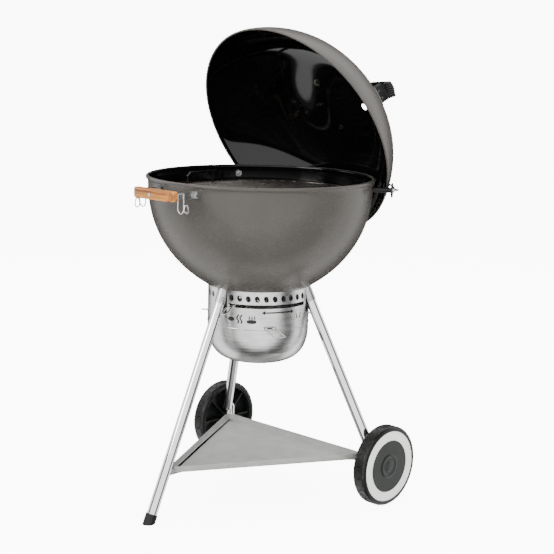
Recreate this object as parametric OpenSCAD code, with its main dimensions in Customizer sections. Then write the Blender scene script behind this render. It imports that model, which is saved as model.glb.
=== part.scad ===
// Kettle charcoal grill on three tube legs with two wheels, an ash catcher and a lid
// resting open in a wire holder behind the bowl. Front is -Y, the wheels are at +Y.

/* [Main sizes] */
// Height of the bowl rim above the floor
rim_height = 819.3; // [790:0.1:850]
// Radius of the bowl wall just below the rolled rim
bowl_radius = 280.8; // [270:0.1:290]
// Depth of the bowl below the straight wall
bowl_depth = 297.6; // [285:0.1:310]
// Distance of the bowl axis behind the middle of the footprint
bowl_y = 20; // [0:0.5:30]
// Sheet thickness of the enamelled bowl and lid
sheet = 1.6; // [1.2:0.1:2.4]
// Gap between neighbouring parts that have to slide past each other
free_gap = 0.5; // [0.4:0.05:1]
// Radial running gap of pins and axles
pin_gap = 0.08; // [0.05:0.01:0.1]

/* [Lid] */
// Radius of the lid rim
lid_radius = 293; // [288:0.1:300]
// Height of the lid dome above its straight skirt
lid_depth = 156.9; // [150:0.1:165]
// Straight skirt height of the lid
lid_skirt = 4.8; // [4:0.1:8]
// Lean of the lid axis above level when parked
lid_lean = 27.97; // [25:0.01:31]
// Distance of the parked lid rim centre behind the bowl axis
lid_y = 115.4; // [112:0.1:120]
// Height of the parked lid rim centre above the bowl rim
lid_rise = 101.8; // [98:0.1:106]
// Distance of the damper centre from the lid axis
damper_radius = 136; // [125:1:145]
// Damper disc opening radius
damper_disc = 42; // [38:1:48]

/* [Legs] */
// Outside diameter of the leg tubes
leg_tube = 25.4; // [22:0.1:28]
// Wall of the leg tubes
leg_wall = 1.5; // [1:0.1:2.5]
// Radius at which the legs meet their sockets
socket_radius = 135.7; // [130:0.1:142]
// Depth of the socket mouths below the bowl rim
socket_drop = 307.7; // [300:0.1:315]
// Radius of the front foot on the floor
foot_radius = 362.2; // [350:0.1:370]
// Wall of the leg sockets
socket_wall = 1.5; // [1:0.1:2.5]

/* [Wheels] */
// Tyre radius
wheel_radius = 101.8; // [98:0.1:105]
// Tyre width
wheel_width = 46; // [40:1:52]
// Distance of the axle behind the bowl axis
axle_y = 167.8; // [160:0.1:175]
// Sideways distance of the outer wheel face
wheel_out = 312.2; // [305:0.1:320]
// Axle rod diameter
axle_rod = 12; // [10:0.5:14]

/* [Ash catcher] */
// Outside radius of the ash ring and pot
ash_radius = 128; // [124:0.5:132]
// Depth of the lower edge of the ash ring below the bowl rim
ring_drop = 367.3; // [360:0.1:374]
// Height of the rounded part of the ash pot
pot_round = 86; // [78:1:92]
// Sheet thickness of the ash catcher
ash_sheet = 1.2; // [0.8:0.1:1.6]

/* [Grates] */
// Depth of the cooking grate below the rim
grate_drop = 40; // [36:1:46]
// Distance of the cooking grate ring inside the bowl wall
grate_inset = 13.8; // [12.8:0.1:18]
// Cooking grate rod diameter
grate_rod = 5; // [4:0.5:6]
// Spacing of the cooking grate rods
grate_pitch = 14.4; // [13:0.1:16]
// Half width of the middle part of the cooking grate
flap_line = 132; // [125:1:140]
// Depth of the charcoal grate below the rim
coal_drop = 179.3; // [172:0.1:186]
// Distance of the charcoal grate ring inside the widest bowl wall
coal_inset = 66.8; // [62:0.1:72]

/* [Hidden] */
bowl_top = rim_height - 12;
bowl_bottom = bowl_top - bowl_depth;
bead = 4.8;
bead_radius = bowl_radius + 0.7;
post_angle = 57;
post_height = rim_height - 22;
post_tube = 13;
post_reach = 50;
post_root = bowl_radius - 3;
bail_wire = 4.5;
socket_out = leg_tube/2 + pin_gap + socket_wall;
socket_height = rim_height - socket_drop;
leg_lean = atan2(foot_radius - socket_radius, socket_height);
lid_z = rim_height + lid_rise;
ring_low = rim_height - ring_drop;
pot_low = ring_low - 13.3 - pot_round;
grate_radius = bowl_radius - grate_inset;
coal_height = rim_height - coal_drop;
coal_radius = bowl_radius - coal_inset;
button_pin = 7;
button_turn = 60;
grate_z = rim_height - grate_drop;
shelf_z = 112;
wood_y = -bowl_radius - 61.2;
wood_z = rim_height - 21.3;
knee_z = 140.4;
knee_reach = socket_radius + (socket_height - knee_z)*tan(leg_lean);
knee = [knee_reach*cos(30) - 1.1, bowl_y + knee_reach*sin(30) + 8.7, knee_z];
knee_length = (socket_height - knee_z)/cos(leg_lean) + 2.5;
shelf_reach = socket_radius + (socket_height - shelf_z)*tan(leg_lean) - 29.6;

// ---------- shared shapes ----------
function depth_steps(n) = [for (i = [0:n]) 1 - pow(1 - i/n, 1.7)];
function bowl_r(t, inset) = (bowl_radius - inset)*pow(1 - pow(t, 2.22), 1/1.72);
function bowl_side(inset, n = 36) = [for (t = depth_steps(n))
  [bowl_r(t, inset), bowl_top - (bowl_depth - inset)*t]];
function turned(list) = [for (i = [len(list) - 1:-1:0]) list[i]];
function lid_side(inset, n = 36) = [for (t = depth_steps(n))
  [(lid_radius - inset)*pow(1 - pow(t, 1.15), 1/3.92), lid_skirt + (lid_depth - inset)*t]];

module bowl_space(inset) {
  translate([0, bowl_y, 0]) rotate_extrude($fn = 240)
    polygon(concat([[0, rim_height + 60], [bowl_radius - inset, rim_height + 60]], bowl_side(inset)));
}

module bowl_skin(from, to) {
  translate([0, bowl_y, 0]) rotate_extrude($fn = 96)
    polygon(concat(bowl_side(from), turned(bowl_side(to))));
}

module lid_skin(from, to) {
  rotate_extrude($fn = 96)
    polygon(concat([[lid_radius - from, 0]], lid_side(from), turned(lid_side(to)),
      [[lid_radius - to, 0]]));
}

module lid_space(inset) {
  rotate_extrude($fn = 96) polygon(concat([[0, -20], [lid_radius - inset, -20]], lid_side(inset)));
}

module at_lid() {
  translate([0, bowl_y + lid_y, lid_z]) rotate([lid_lean - 90, 0, 0]) children();
}

module rod(a, b, d) {
  v = b - a;
  translate(a) rotate([0, acos(v[2]/norm(v)), atan2(v[1], v[0])]) cylinder(h = norm(v), d = d, $fn = 36);
}

module bent_wire(path, d) {
  for (i = [0:len(path) - 2]) rod(path[i], path[i + 1], d);
  for (p = path) translate(p) sphere(d = 1.04*d, $fn = 36);
}

module on_leg(angle) {
  translate([0, bowl_y, 0]) rotate([0, 0, angle]) translate([socket_radius, 0, socket_height])
    rotate([0, -leg_lean, 0]) children();
}

module both_sides() {
  children();
  mirror([1, 0, 0]) children();
}

// ---------- bowl ----------
module bowl() color("DimGray") {
  difference() {
    union() {
      bowl_skin(0, sheet);
      translate([0, bowl_y, 0]) rotate_extrude($fn = 96) {
        translate([bowl_radius - sheet, bowl_top]) square([sheet, rim_height - 3 - bowl_top]);
        translate([bead_radius, rim_height - 3]) circle(d = 2*bead, $fn = 32);
      }
    }
    translate([0, bowl_y, 0]) {
      for (a = [0, 120, 240]) rotate([0, 0, a + 12]) translate([0, 0, bowl_bottom - 5])
        linear_extrude(80) {
          translate([38, -11]) square([70, 22]);
          translate([38, 0]) circle(r = 11, $fn = 32);
          translate([108, 0]) circle(r = 11, $fn = 32);
        }
      translate([0, 0, bowl_bottom - 5]) cylinder(r = 8, h = 20, $fn = 32);
      for (s = [-1, 1]) rotate([0, 0, 90 + s*post_angle]) translate([0, 0, post_height])
        rotate([0, 90, 0]) cylinder(d = 8, h = 400, $fn = 24);
      for (s = [-1, 1]) translate([s*70, 80 - bowl_radius, wood_z]) rotate([90, 0, 0]) cylinder(d = 5, h = 120, $fn = 24);
    }
  }
}

module tab_set(z, reach, deep, angles) {
  intersection() {
    translate([0, bowl_y, 0]) for (a = angles) rotate([0, 0, a]) {
      translate([reach, -9, z - 2]) cube([80, 18, 2]);
      translate([reach + deep, -9, z - 28]) cube([80, 18, 28]);
    }
    bowl_space(sheet);
  }
}

module cooking_grate_tabs() color("Silver")
  tab_set(grate_z - 3.9, grate_radius - 5, 13, [20, 160, 200, 340]);

module charcoal_grate_tabs() color("Silver")
  tab_set(coal_height - 4, coal_radius - 8, 17, [0, 90, 180, 270]);

// ---------- lid holder ----------
module at_posts() {
  for (s = [-1, 1]) translate([0, bowl_y, post_height]) rotate([0, 0, 90 + s*post_angle])
    rotate([0, 90, 0]) children();
}

module lid_posts() color([0.25, 0.27, 0.25]) difference() {
  at_posts() difference() {
    translate([0, 0, post_root - 6]) cylinder(d = post_tube, h = post_reach + 6, $fn = 32);
    translate([0, 0, post_root - 8]) cylinder(d = 8, h = post_reach + 12, $fn = 32);
  }
  bowl_space(0);
}

module post_caps() color([0.25, 0.27, 0.25]) at_posts() difference() {
  translate([0, 0, post_root + post_reach]) cylinder(d = 37, h = 3, $fn = 48);
  translate([0, 0, post_root + post_reach - 1]) cylinder(d = 8, h = 6, $fn = 32);
}

nut_inside = grate_radius + 6;

module post_bolts() color("Silver") {
  difference() {
    at_posts() {
      translate([0, 0, post_root + post_reach + 3]) cylinder(d = 11, h = 4, $fn = 48);
      translate([0, 0, nut_inside]) cylinder(d = 8, h = post_root + post_reach + 4.4 - nut_inside, $fn = 48);
    }
    lid_bail();
  }
  intersection() {
    at_posts() translate([0, 0, nut_inside + 1.2]) difference() {
      cylinder(d = 17, h = 12, $fn = 32);
      translate([0, 0, -1]) cylinder(d = 8, h = 14, $fn = 32);
    }
    bowl_space(sheet);
  }
}

bail_bend = 9;
bail_heading = 150;
bail_straight = 26;
bail_start = 37;
bail_turn = bail_heading - 90 + post_angle;
bail_lead = post_root + post_reach + 6;
bail_centre = bail_lead*[sin(post_angle), cos(post_angle)] + bail_bend*[-cos(post_angle), sin(post_angle)];
bail_end = bail_centre + bail_bend*[sin(bail_heading), -cos(bail_heading)]
  + bail_straight*[cos(bail_heading), sin(bail_heading)];
bail_circle = bail_end[0]/cos(bail_start);

module bail_side() {
  rotate([0, 0, 90 - post_angle]) rotate([0, 90, 0]) translate([0, 0, bail_lead - 8])
    cylinder(d = bail_wire, h = 8, $fn = 36);
  translate([bail_centre[0], bail_centre[1], 0]) rotate([0, 0, -post_angle]) {
    rotate_extrude(angle = bail_turn, $fn = 48) translate([bail_bend, 0]) circle(d = bail_wire, $fn = 36);
    for (a = [0, bail_turn]) rotate([0, 0, a]) translate([bail_bend, 0, 0]) sphere(d = 1.04*bail_wire, $fn = 36);
  }
  rod([bail_end[0] - bail_straight*cos(bail_heading), bail_end[1] - bail_straight*sin(bail_heading), 0],
    [bail_end[0], bail_end[1], 0], bail_wire);
  translate([bail_end[0], bail_end[1], 0]) sphere(d = 1.04*bail_wire, $fn = 36);
}

module lid_bail() color("Silver") translate([0, bowl_y, post_height]) {
  both_sides() bail_side();
  translate([0, bail_end[1] - bail_circle*sin(bail_start), 0]) rotate([0, 0, bail_start])
    rotate_extrude(angle = 180 - 2*bail_start, $fn = 180) translate([bail_circle, 0])
      circle(d = bail_wire, $fn = 36);
}

// ---------- legs ----------
module leg_socket(angle) on_leg(angle) difference() {
  cylinder(r = socket_out, h = 75, $fn = 48);
  translate([0, 0, -1]) cylinder(r = leg_tube/2 + pin_gap, h = 100, $fn = 48);
  button_line() cylinder(d = button_pin + 2*free_gap, h = 40, $fn = 24);
}

module leg_sockets() color("DarkGray") difference() {
  union() {
    leg_socket(-90);
    both_sides() leg_socket(30);
  }
  bowl_space(0);
}

module button_line() {
  rotate([0, 0, button_turn]) translate([0, 0, 12]) rotate([0, 90, 0]) children();
}

module leg_bore() {
  translate([0, 0, -700]) cylinder(r = leg_tube/2 - leg_wall, h = 800, $fn = 48);
  button_line() cylinder(d = button_pin + 2*free_gap, h = 40, $fn = 24);
}

module front_leg() color("Gainsboro") on_leg(-90) difference() {
  translate([0, 0, -socket_height/cos(leg_lean) + 8]) cylinder(d = leg_tube, h = socket_height/cos(leg_lean) + 14, $fn = 48);
  leg_bore();
}

module foot_cap() color([0.08, 0.08, 0.08]) intersection() {
  translate([0, bowl_y - foot_radius, 0]) rotate([leg_lean*-1, 0, 0]) difference() {
    translate([0, 0, -20]) cylinder(r = leg_tube/2 + 2.2, h = 44, $fn = 48);
    translate([0, 0, 8]) cylinder(d = leg_tube, h = 60, $fn = 48);
  }
  translate([-50, bowl_y - foot_radius - 50, 0]) cube([100, 100, 60]);
}

module rear_leg() {
  on_leg(30) difference() {
    translate([0, 0, -knee_length]) cylinder(d = leg_tube, h = knee_length + 14, $fn = 48);
    leg_bore();
  }
  difference() {
    union() {
      translate(knee) sphere(d = leg_tube, $fn = 48);
      translate([knee[0], knee[1], 84]) cylinder(d = leg_tube, h = knee[2] - 84, $fn = 48);
    }
    translate([knee[0] - 40, bowl_y + axle_y, wheel_radius]) rotate([0, 90, 0])
      cylinder(d = axle_rod, h = 80, $fn = 32);
    on_leg(30) translate([0, 0, -knee_length]) cylinder(r = leg_tube/2 - leg_wall, h = knee_length + 22, $fn = 48);
  }
}

module rear_leg_right() color("Gainsboro") rear_leg();
module rear_leg_left() color("Gainsboro") mirror([1, 0, 0]) rear_leg();

module leg_button(angle) color("Silver") on_leg(angle) button_line() {
  translate([0, 0, 5]) cylinder(d = button_pin, h = leg_tube/2 - 5 + 1, $fn = 24);
  intersection() {
    translate([0, 0, leg_tube/2 + 1]) sphere(d = button_pin, $fn = 24);
    translate([0, 0, leg_tube/2 + 1]) cylinder(d = 2*button_pin, h = button_pin, $fn = 24);
  }
}

module button_front() leg_button(-90);
module button_right() leg_button(30);
module button_left() mirror([1, 0, 0]) leg_button(30);

// ---------- axle and wheels ----------
module at_axle() {
  translate([0, bowl_y + axle_y, wheel_radius]) rotate([0, 90, 0]) children();
}

module axle() color("Silver") at_axle()
  translate([0, 0, -wheel_out + 6]) cylinder(d = axle_rod, h = 2*wheel_out - 12, $fn = 32);

tyre_in = wheel_out - 38;
core_out = wheel_out - 3;
tyre_seat = 90;
ring_hole = 66.5;

module tyre() color([0.1, 0.1, 0.1]) at_axle() rotate_extrude($fn = 96) difference() {
  translate([tyre_seat, tyre_in]) polygon([[0, 0], [wheel_radius - tyre_seat - 3, 0],
    [wheel_radius - tyre_seat - 0.8, 1.2], [wheel_radius - tyre_seat, 5],
    [wheel_radius - tyre_seat, wheel_out - tyre_in - 7], [wheel_radius - tyre_seat - 0.8, wheel_out - tyre_in - 3.2],
    [wheel_radius - tyre_seat - 3, wheel_out - tyre_in - 2], [0, wheel_out - tyre_in - 2]]);
  for (k = [0.28, 0.5, 0.72])
    translate([wheel_radius - 2, tyre_in + k*(wheel_out - tyre_in - 2) - 1.2]) square([5, 2.4]);
}

module wheel_core() color([0.16, 0.18, 0.16]) at_axle() {
  difference() {
    union() {
      translate([0, 0, tyre_in + 2]) cylinder(r = tyre_seat, h = core_out - tyre_in - 2, $fn = 96);
    }
    translate([0, 0, tyre_in]) difference() {
      cylinder(r = tyre_seat - 4, h = core_out - tyre_in - 7, $fn = 96);
      cylinder(r = 15, h = 60, $fn = 48);
      for (a = [0:45:315]) rotate([0, 0, a]) translate([10, -1.5, 6]) cube([90, 3, 60]);
    }
    translate([0, 0, tyre_in - 5]) cylinder(r = axle_rod/2 + pin_gap, h = 60, $fn = 48);
    translate([0, 0, core_out - 6]) cylinder(r = 13, h = 10, $fn = 48);
    translate([0, 0, core_out - 2]) cylinder(r = 31, h = 10, $fn = 64);
    translate([0, 0, core_out - 3]) difference() {
      cylinder(r = tyre_seat + 1, h = 10, $fn = 96);
      cylinder(r = ring_hole, h = 10, $fn = 96);
    }
  }
}

module wheel_ring() color("WhiteSmoke") at_axle() rotate_extrude($fn = 96)
  translate([ring_hole, core_out - 3]) polygon([[0, 0], [tyre_seat - ring_hole, 0],
    [tyre_seat - ring_hole, 3], [tyre_seat - ring_hole - 3, 5.4], [9, 6], [3, 5.4], [0, 4]]);

module wheel_cap() color([0.2, 0.22, 0.2]) at_axle() rotate_extrude($fn = 96)
  translate([0, core_out - 2]) polygon([[0, 0], [31, 0], [31, 2.6], [28, 3.6], [24, 3.6], [22, 2.8],
    [14, 2.8], [12, 3.8], [0, 4.4]]);

module wheel_nut() color("Silver") at_axle() translate([0, 0, core_out - 5.6]) difference() {
  cylinder(r = 11, h = 3, $fn = 48);
  translate([0, 0, -1]) cylinder(d = axle_rod, h = 5, $fn = 48);
}

module wheel_nuts() both_sides() wheel_nut();
module axle_collars() color("Silver") both_sides() at_axle() translate([0, 0, tyre_in - 1.6]) difference() {
  cylinder(r = 10, h = 2, $fn = 48);
  translate([0, 0, -1]) cylinder(d = axle_rod, h = 5, $fn = 48);
}
module tyre_right() tyre();
module tyre_left() mirror([1, 0, 0]) tyre();
module wheel_core_right() wheel_core();
module wheel_core_left() mirror([1, 0, 0]) wheel_core();
module wheel_ring_right() wheel_ring();
module wheel_ring_left() mirror([1, 0, 0]) wheel_ring();
module wheel_cap_right() wheel_cap();
module wheel_cap_left() mirror([1, 0, 0]) wheel_cap();

// ---------- shelf ----------
shelf_near = shelf_reach - 11;
shelf_side = 0.512*shelf_reach;
shelf_sides = [[-90, shelf_reach], [-29.4, shelf_side], [30.3, shelf_near], [90, shelf_side],
  [149.7, shelf_near], [209.4, shelf_side]];
function line_cross(p, q, t) = let (k = sin(q[0] - p[0]), a = p[1] - t, b = q[1] - t)
  [(a*sin(q[0]) - b*sin(p[0]))/k, (b*cos(p[0]) - a*cos(q[0]))/k];
function shelf_outline(t) = [for (i = [0:5]) line_cross(shelf_sides[i], shelf_sides[(i + 1) % 6], t)];

module at_shelf() {
  translate([0, bowl_y - 4.9, shelf_z]) children();
}

module at_shelf_corners() {
  at_shelf() for (k = [[-90, shelf_reach], [30.3, shelf_near], [149.7, shelf_near]]) rotate([0, 0, k[0]])
    translate([k[1], 0, 0]) children();
}

module shelf() color("Silver") difference() {
  at_shelf() difference() {
    linear_extrude(16) polygon(shelf_outline(0));
    translate([0, 0, 1]) linear_extrude(20) polygon(shelf_outline(1));
  }
  at_shelf_corners() translate([-22, 0, -5]) cylinder(d = 5, h = 10, $fn = 24);
}

module shelf_tabs() color("Silver") difference() {
  at_shelf_corners() difference() {
    union() {
      translate([-34, -8, -2.5]) cube([80, 16, 2.5]);
      translate([0, -8, -2.5]) cube([80, 16, 15]);
    }
    translate([-22, 0, -5]) cylinder(d = 5, h = 10, $fn = 24);
  }
  on_leg(-90) translate([0, 0, -600]) cylinder(d = leg_tube, h = 700, $fn = 48);
  translate([-200, bowl_y - shelf_reach - 617, 50]) cube([400, 590, 200]);
  both_sides() {
    translate([knee[0], knee[1], 50]) cylinder(d = leg_tube, h = 200, $fn = 48);
    on_leg(30) translate([0, 0, -knee_length]) cylinder(d = leg_tube, h = 300, $fn = 48);
    translate([knee[0], knee[1], 50]) rotate([0, 0, 30.3]) translate([0, -50, 0]) cube([100, 100, 200]);
  }
}

module shelf_rivets() color("Gainsboro") at_shelf_corners() translate([-22, 0, 0]) {
  translate([0, 0, -4.5]) cylinder(d = 5, h = 6, $fn = 24);
  translate([0, 0, 1]) cylinder(d = 9, h = 1.8, $fn = 32);
  translate([0, 0, -4.5]) cylinder(d = 9, h = 2, $fn = 32);
}

// ---------- ash catcher ----------
panel_gap = 7.6;
hole_z = ring_low + 77.8;
slot_z = ring_low + 59;
pin_z = ring_low + 23;
slot_tall = 9;
latch_angle = -32.2;

module oval_hole(angle) {
  rotate([0, 0, angle]) translate([ash_radius - 10, 0, hole_z]) rotate([18, 0, 0]) rotate([0, 90, 0]) {
    for (k = [-1.8, 1.8]) translate([k, 0, 0]) cylinder(d = 12, h = 20, $fn = 32);
    translate([-1.8, -6, 0]) cube([3.6, 12, 20]);
  }
}

module ash_ring() color("LightGray") difference() {
  translate([0, bowl_y, 0]) difference() {
    translate([0, 0, ring_low]) cylinder(r = ash_radius, h = 110, $fn = 96);
    translate([0, 0, ring_low - 1]) cylinder(r = ash_radius - ash_sheet, h = 112, $fn = 96);
    for (a = [-90, 30, 150]) rotate([0, 0, a - panel_gap]) translate([0, 0, ring_low + 32])
      rotate_extrude(angle = 2*panel_gap, $fn = 96) translate([ash_radius - 20, 0]) square([40, 100]);
    for (leg = [-90, 30, 150], k = [0:9]) oval_hole(leg + 13.5 + 9.97*k);
    rotate([0, 0, -80]) rotate_extrude(angle = 97, $fn = 96)
      translate([ash_radius - 20, slot_z - slot_tall/2]) square([40, slot_tall]);
    rotate([0, 0, latch_angle - 7]) rotate_extrude(angle = 14, $fn = 96)
      translate([ash_radius - 20, ring_low - 5]) square([40, 16]);
  }
  bowl_space(0);
}

module ring_pins() color("Silver") translate([0, bowl_y, pin_z]) for (k = [[-140, 17], [41, 8]])
  difference() {
    rotate([0, 0, k[0]]) rotate([0, 90, 0]) translate([0, 0, ash_radius - 2]) {
      cylinder(d = 4, h = k[1] + 2, $fn = 32);
      cylinder(d = 8, h = 3.5, $fn = 32);
    }
    translate([0, 0, -10]) cylinder(r = ash_radius, h = 20, $fn = 96);
  }

function pot_side(t) = [for (i = [0:16]) let (k = sin(90*i/16))
  [(ash_radius - t)*pow(1 - pow(k, 2.1), 1/4.28), pot_low + pot_round - (pot_round - t)*k]];

module ash_pot() color("LightGray") translate([0, bowl_y, 0]) {
  rotate_extrude($fn = 96) polygon(concat([[ash_radius, ring_low - free_gap]], pot_side(0),
    turned(pot_side(ash_sheet)), [[ash_radius - ash_sheet, ring_low - 3],
    [ash_radius - 2.6*ash_sheet, ring_low - 0.5], [ash_radius - 2.6*ash_sheet, ring_low + 10],
    [ash_radius - 1.6*ash_sheet, ring_low + 10], [ash_radius - 1.6*ash_sheet, ring_low - free_gap]]));
  rotate([0, 0, latch_angle]) for (s = [-1, 1]) translate([ash_radius - 1.6*ash_sheet - 0.3, s*9.5 - 1.5, ring_low + 3])
    difference() {
      cube([6, 3, 6]);
      translate([3.9, -1, 3]) rotate([-90, 0, 0]) cylinder(r = 1.25 + pin_gap, h = 5, $fn = 24);
    }
}

module pot_handle() color("Silver") translate([0, bowl_y, 0]) rotate([0, 0, latch_angle])
  translate([ash_radius - 1.6*ash_sheet + 3.6, 0, ring_low + 6])
    bent_wire([[0, 7.4, 0], [0, 15.5, 0], [22, 34, -17], [26, 10, -21], [0, -15.5, 0], [0, -7.4, 0]], 2.5);

// ---------- sweeper ----------
lever_angle = -74.5;
vent_angle = 12;

module sweeper() color("LightGray") intersection() {
  bowl_skin(sheet + 1, sheet + 2.2);
  translate([0, bowl_y, bowl_bottom - 5]) difference() {
    union() for (a = [0, 120, 240]) rotate([0, 0, vent_angle + a]) translate([0, -14, 0]) cube([122, 28, 90]);
    translate([0, 0, -1]) cylinder(d = 10, h = 100, $fn = 32);
  }
}

module sweeper_hub() color("Silver") {
  intersection() {
    translate([0, bowl_y, bowl_bottom]) difference() {
      cylinder(r = 20, h = 9, $fn = 48);
      translate([0, 0, -1]) cylinder(d = 9, h = 12, $fn = 32);
    }
    bowl_space(sheet + 2.2);
  }
  translate([0, bowl_y, bowl_bottom - 13]) cylinder(d = 10, h = 20, $fn = 32);
}

module sweeper_lever() color("Silver") translate([0, bowl_y, bowl_bottom - 10]) rotate([0, 0, lever_angle]) {
  difference() {
    translate([0, 0, -3]) cylinder(d = 28, h = 5, $fn = 48);
    translate([0, 0, -4]) cylinder(d = 10, h = 8, $fn = 32);
  }
  up = slot_z - bowl_bottom + 10;
  for (s = [-1, 1]) bent_wire([[12, s*7, -0.5], [ash_radius - 28, s*7, -0.5], [ash_radius - 16, s*7, up],
    [ash_radius + 12, s*7, up], [ash_radius + 42, s*7, up - 12], [ash_radius + 48, s*3.5, up - 14],
    [ash_radius + 49, 0, up - 14]], 4);
}

// ---------- grates ----------
module ring_arc(r, z, from, sweep, d) {
  translate([0, bowl_y, z]) rotate([0, 0, from]) rotate_extrude(angle = sweep, $fn = 96)
    translate([r, 0]) circle(d = d, $fn = 36);
}

function chord(r, y) = sqrt(r*r - y*y);

module charcoal_grate() color("DimGray") {
  ring_arc(coal_radius, coal_height, 0, 360, 7);
  for (y = [-187:22:187]) rod([-chord(coal_radius, y), bowl_y + y, coal_height],
    [chord(coal_radius, y), bowl_y + y, coal_height], 6);
  for (s = [-1, 1]) rod([s*60, bowl_y - chord(coal_radius, 60), coal_height - 1.4],
    [s*60, bowl_y + chord(coal_radius, 60), coal_height - 1.4], 6);
}

module cooking_grate() color("Silver") {
  a = asin((flap_line + 3)/grate_radius);
  grip_x = grate_radius - 45;
  for (s = [0, 180]) ring_arc(grate_radius, grate_z, s - a, 2*a, 7);
  for (k = [0:9], s = [-1, 1]) if (k > 0 || s > 0) {
    y = s*k*flap_line/9;
    rod([-chord(grate_radius, y), bowl_y + y, grate_z], [chord(grate_radius, y), bowl_y + y, grate_z], grate_rod);
  }
  for (x = [-150, -50, 50, 150]) rod([x, bowl_y - flap_line, grate_z - 1], [x, bowl_y + flap_line, grate_z - 1], grate_rod);
  for (s = [-1, 1]) bent_wire([[s*grip_x, bowl_y - 44, grate_z], [s*grip_x, bowl_y - 44, grate_z + 23],
    [s*grip_x, bowl_y - 34, grate_z + 31], [s*grip_x, bowl_y + 34, grate_z + 31],
    [s*grip_x, bowl_y + 44, grate_z + 23], [s*grip_x, bowl_y + 44, grate_z]], grate_rod);
}

module grate_flap() {
  first = flap_line + 11;
  a = asin(first/grate_radius);
  ring_arc(grate_radius, grate_z, 180 + a, 180 - 2*a, 7);
  for (y = [first:grate_pitch:grate_radius - 12]) rod([-chord(grate_radius, y), bowl_y - y, grate_z],
    [chord(grate_radius, y), bowl_y - y, grate_z], grate_rod);
  for (x = [-90, 90]) rod([x, bowl_y - chord(grate_radius, 90), grate_z - 1], [x, bowl_y - first, grate_z - 1], grate_rod);
  for (x = [-110, 110]) translate([x - 5, bowl_y - flap_line, grate_z]) rotate([0, 90, 0]) difference() {
    union() {
      cylinder(r = grate_rod/2 + 2, h = 10, $fn = 32);
      translate([-2.2, -11, 0]) cube([4.4, 11, 10]);
    }
    translate([0, 0, -1]) cylinder(r = grate_rod/2 + free_gap, h = 12, $fn = 32);
  }
}

module grate_flap_front() color("Silver") grate_flap();
module grate_flap_back() color("Silver") translate([0, 2*bowl_y, 0]) mirror([0, 1, 0]) grate_flap();

// ---------- side handle ----------
arm_front = wood_y;
foot_back = -bowl_radius + 12.8;

module handle_bracket() color("Silver") difference() {
  union() {
    both_sides() {
      translate([62.5, bowl_y + arm_front, wood_z - 8]) cube([3, foot_back - arm_front - 4, 16]);
      translate([54, bowl_y + foot_back - 16, wood_z - 8]) cube([20, 16, 16]);
    }
    translate([-65.5, bowl_y + arm_front, wood_z - 8]) cube([131, 3, 16]);
  }
  bowl_space(0);
  both_sides() translate([70, bowl_y + foot_back + 18, wood_z]) rotate([90, 0, 0]) cylinder(d = 5, h = 60, $fn = 24);
  translate([0, bowl_y + arm_front + 8, wood_z]) rotate([90, 0, 0]) cylinder(d = 5, h = 20, $fn = 24);
}

module bracket_screws() color("Silver") both_sides() translate([70, bowl_y + foot_back, wood_z]) rotate([90, 0, 0]) {
  translate([0, 0, -4]) cylinder(d = 5, h = 24, $fn = 24);
  translate([0, 0, 16]) cylinder(d = 8.4, h = 3.5, $fn = 6);
}

module handle_grip() color([0.74, 0.56, 0.36]) difference() {
  translate([0, bowl_y + arm_front, wood_z - 12]) linear_extrude(24)
    polygon([[-71, 0], [-71, -10], [-55, -22], [55, -22], [71, -10], [71, 0]]);
  translate([0, bowl_y + arm_front + 8, wood_z]) rotate([90, 0, 0]) cylinder(d = 5, h = 60, $fn = 24);
}

module grip_screw() color("Silver") translate([0, bowl_y + arm_front, wood_z]) rotate([90, 0, 0]) {
  translate([0, 0, -4]) cylinder(d = 5, h = 26, $fn = 24);
  translate([0, 0, 22]) cylinder(d = 9, h = 2, $fn = 32);
  translate([0, 0, -6]) cylinder(d = 9, h = 3, $fn = 6);
}

module tool_hooks() color("Silver") both_sides() translate([67, bowl_y + arm_front, wood_z]) {
  for (k = [[5, 9.5], [23, 17.5]]) bent_wire([[0, k[0], 5], [0, k[0], -29], [3, k[0], -36], [11, k[0], -39],
    [17, k[0], -35], [19, (k[0] + k[1])/2, -27], [19, k[1], -19]], 3);
  rod([0, 5, 5], [0, 23, 5], 3);
  rod([19, 9.5, -19], [19, 17.5, -19], 3);
}

// ---------- lid ----------
bolt_spots = [[-25.9, -58], [5.7, 76.6]];
damper_turn = 163.6;
handle_turn = -14;
plate = 1.5;

module at_damper() {
  slope = 11.06;
  rotate([0, 0, damper_turn]) translate([damper_radius, 0, lid_top_at(damper_radius)]) rotate([0, slope, 0]) children();
}

function lid_top_at(r) = lid_skirt + lid_depth*pow(1 - pow(r/lid_radius, 3.92), 1/1.15);

module lid() color("DimGray") at_lid() difference() {
  union() {
    lid_skin(0, sheet);
    rotate_extrude($fn = 96) translate([lid_radius - 1.2, 1.2]) circle(r = 2.2, $fn = 32);
  }
  for (p = bolt_spots) translate([p[0], p[1], 120]) cylinder(d = 6, h = 60, $fn = 24);
  translate([112.9, 5.1, 120]) cylinder(d = 18, h = 60, $fn = 32);
  at_damper() {
    translate([0, 0, -10]) cylinder(d = 6, h = 20, $fn = 24);
    for (a = [0, 120, 240]) rotate([0, 0, a]) translate([23, 0, -20]) cylinder(d = 22, h = 30, $fn = 32);
  }
}

module plate_outline() {
  translate([-10.1, 9.3]) rotate(76.8) translate([-88, -19]) square([176, 38]);
  rotate(handle_turn) translate([0, -23]) square([222, 46]);
}

module lid_handle_plate() color("Silver") at_lid() difference() {
  intersection() {
    lid_skin(-plate, 0);
    translate([0, 0, 90]) linear_extrude(100) plate_outline();
  }
  for (p = bolt_spots) translate([p[0], p[1], 120]) cylinder(d = 6, h = 60, $fn = 24);
}

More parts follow.
